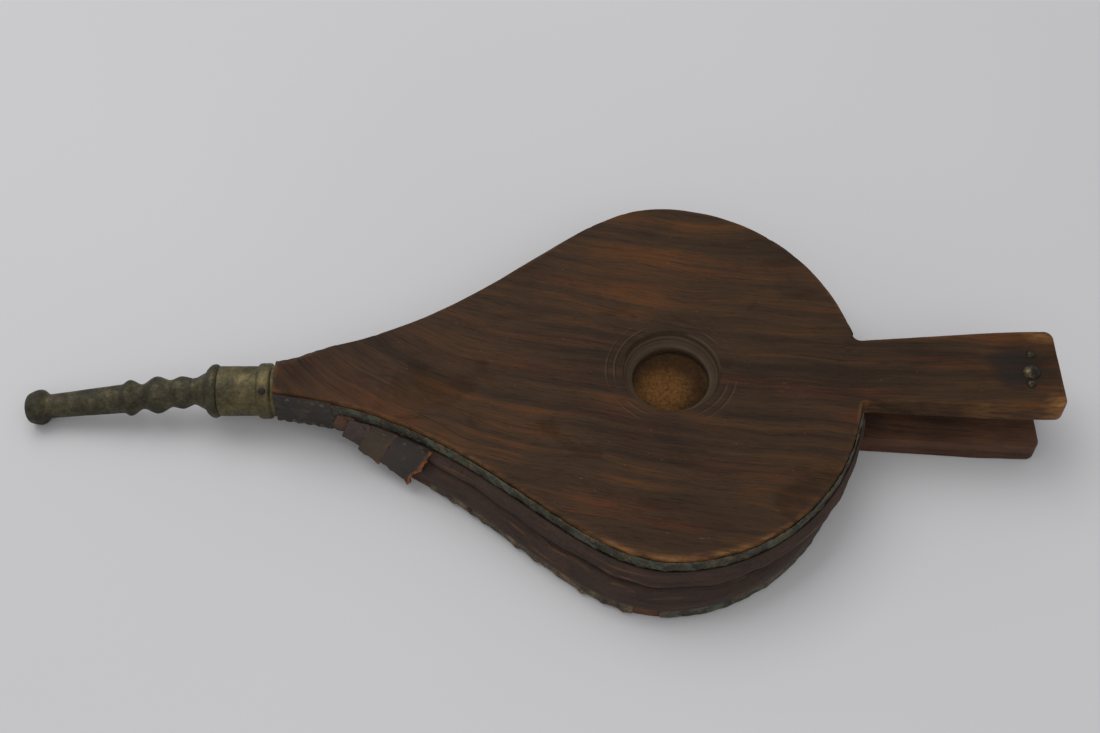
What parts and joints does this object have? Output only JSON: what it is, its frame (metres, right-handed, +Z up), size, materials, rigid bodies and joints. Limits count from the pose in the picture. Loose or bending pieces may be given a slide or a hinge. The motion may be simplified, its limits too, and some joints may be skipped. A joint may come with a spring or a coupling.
{
  "type": "hand bellows",
  "caption": "Hand bellows with two pear-shaped wooden boards, a folded leather wall, an air valve flap and a turned brass nozzle; the boards open and close on a leather hinge.",
  "frame": {"origin": "on the ground, under the middle of the object's box", "axes": "+X from the nozzle towards the handles, +Y away from the side the nose patches are on, +Z up from the lower board to the upper board"},
  "size_m": [0.5478, 0.247, 0.0494],
  "materials": {
    "old_wood_upper": "dark oiled and worn hardwood, orange-brown streaks",
    "old_wood_lower": "dark reddish-brown worn hardwood",
    "bent_ash": "bare split hardwood, dusty",
    "gusset_leather": "dark brown cracked leather, worn tan on the folds",
    "nose_leather": "dark grey-violet tight leather",
    "patch_leather": "brown repair leather with torn suede edges",
    "hair_leather": "fuzzy tan hair-on leather",
    "band_brass": "thin sheet brass with grey-green verdigris",
    "nozzle_brass": "turned cast brass, dark olive patina, pitted",
    "brass_tacks": "domed tack heads, tarnished",
    "iron_nails": "dark forged nails"
  },
  "bodies": {
    "lower_side": {"lower_board": "old_wood_lower", "gusset_leather": "gusset_leather", "hinge_leather": "gusset_leather", "hinge_tacks": "iron_nails", "nose_apron": "nose_leather", "apron_tacks": "brass_tacks", "lower_band_near": "band_brass", "lower_band_far": "band_brass", "lower_band_tacks": "brass_tacks"},
    "upper_side": {"valve_board": "old_wood_upper", "nose_block": "old_wood_lower", "nose_block_nails": "iron_nails", "ferrule": "nozzle_brass", "ferrule_nails": "iron_nails", "nozzle_spout": "nozzle_brass", "nose_leather": "nose_leather", "nose_tacks": "brass_tacks", "upper_band_near": "band_brass", "upper_band_far": "band_brass", "upper_band_tacks": "brass_tacks", "nose_patch_near_1": "patch_leather", "nose_patch_near_2": "patch_leather", "nose_patch_near_3": "patch_leather", "nose_patch_near_4": "patch_leather", "nose_patch_far_1": "patch_leather", "nose_patch_far_2": "patch_leather", "patch_tacks": "brass_tacks", "flap_hinge_strip": "gusset_leather", "flap_hinge_tacks": "iron_nails", "flap_strap": "gusset_leather", "flap_strap_tacks": "iron_nails", "handle_stud": "brass_tacks", "handle_tacks": "brass_tacks"},
    "hoop": {"stay_hoop": "bent_ash"},
    "flap": {"valve_flap": "hair_leather", "flap_stiffener": "bent_ash", "flap_rivets": "brass_tacks"}
  },
  "joints": [
    {"name": "board_hinge", "type": "hinge", "parent": "lower_side", "child": "upper_side", "pos_m": [-0.08325, 0, 0.0142], "axis": [0, -1, 0], "range_deg": [-2, 10], "deforming": ["gusset_leather", "hinge_leather"]},
    {"name": "hoop_hinge", "type": "hinge", "parent": "lower_side", "child": "hoop", "pos_m": [-0.08325, 0, 0.0142], "axis": [0, -1, 0], "range_deg": [-1, 5]},
    {"name": "flap_hinge", "type": "hinge", "parent": "upper_side", "child": "flap", "pos_m": [0.10247, 0, 0.03064], "axis": [0, -1, 0], "range_deg": [0, 6], "stiffness_Nm_per_rad": 0.02, "springref_deg": -11.46}
  ],
  "couplings": [
    {"joint": "hoop_hinge", "follows": "board_hinge", "ratio": 0.5}
  ]
}
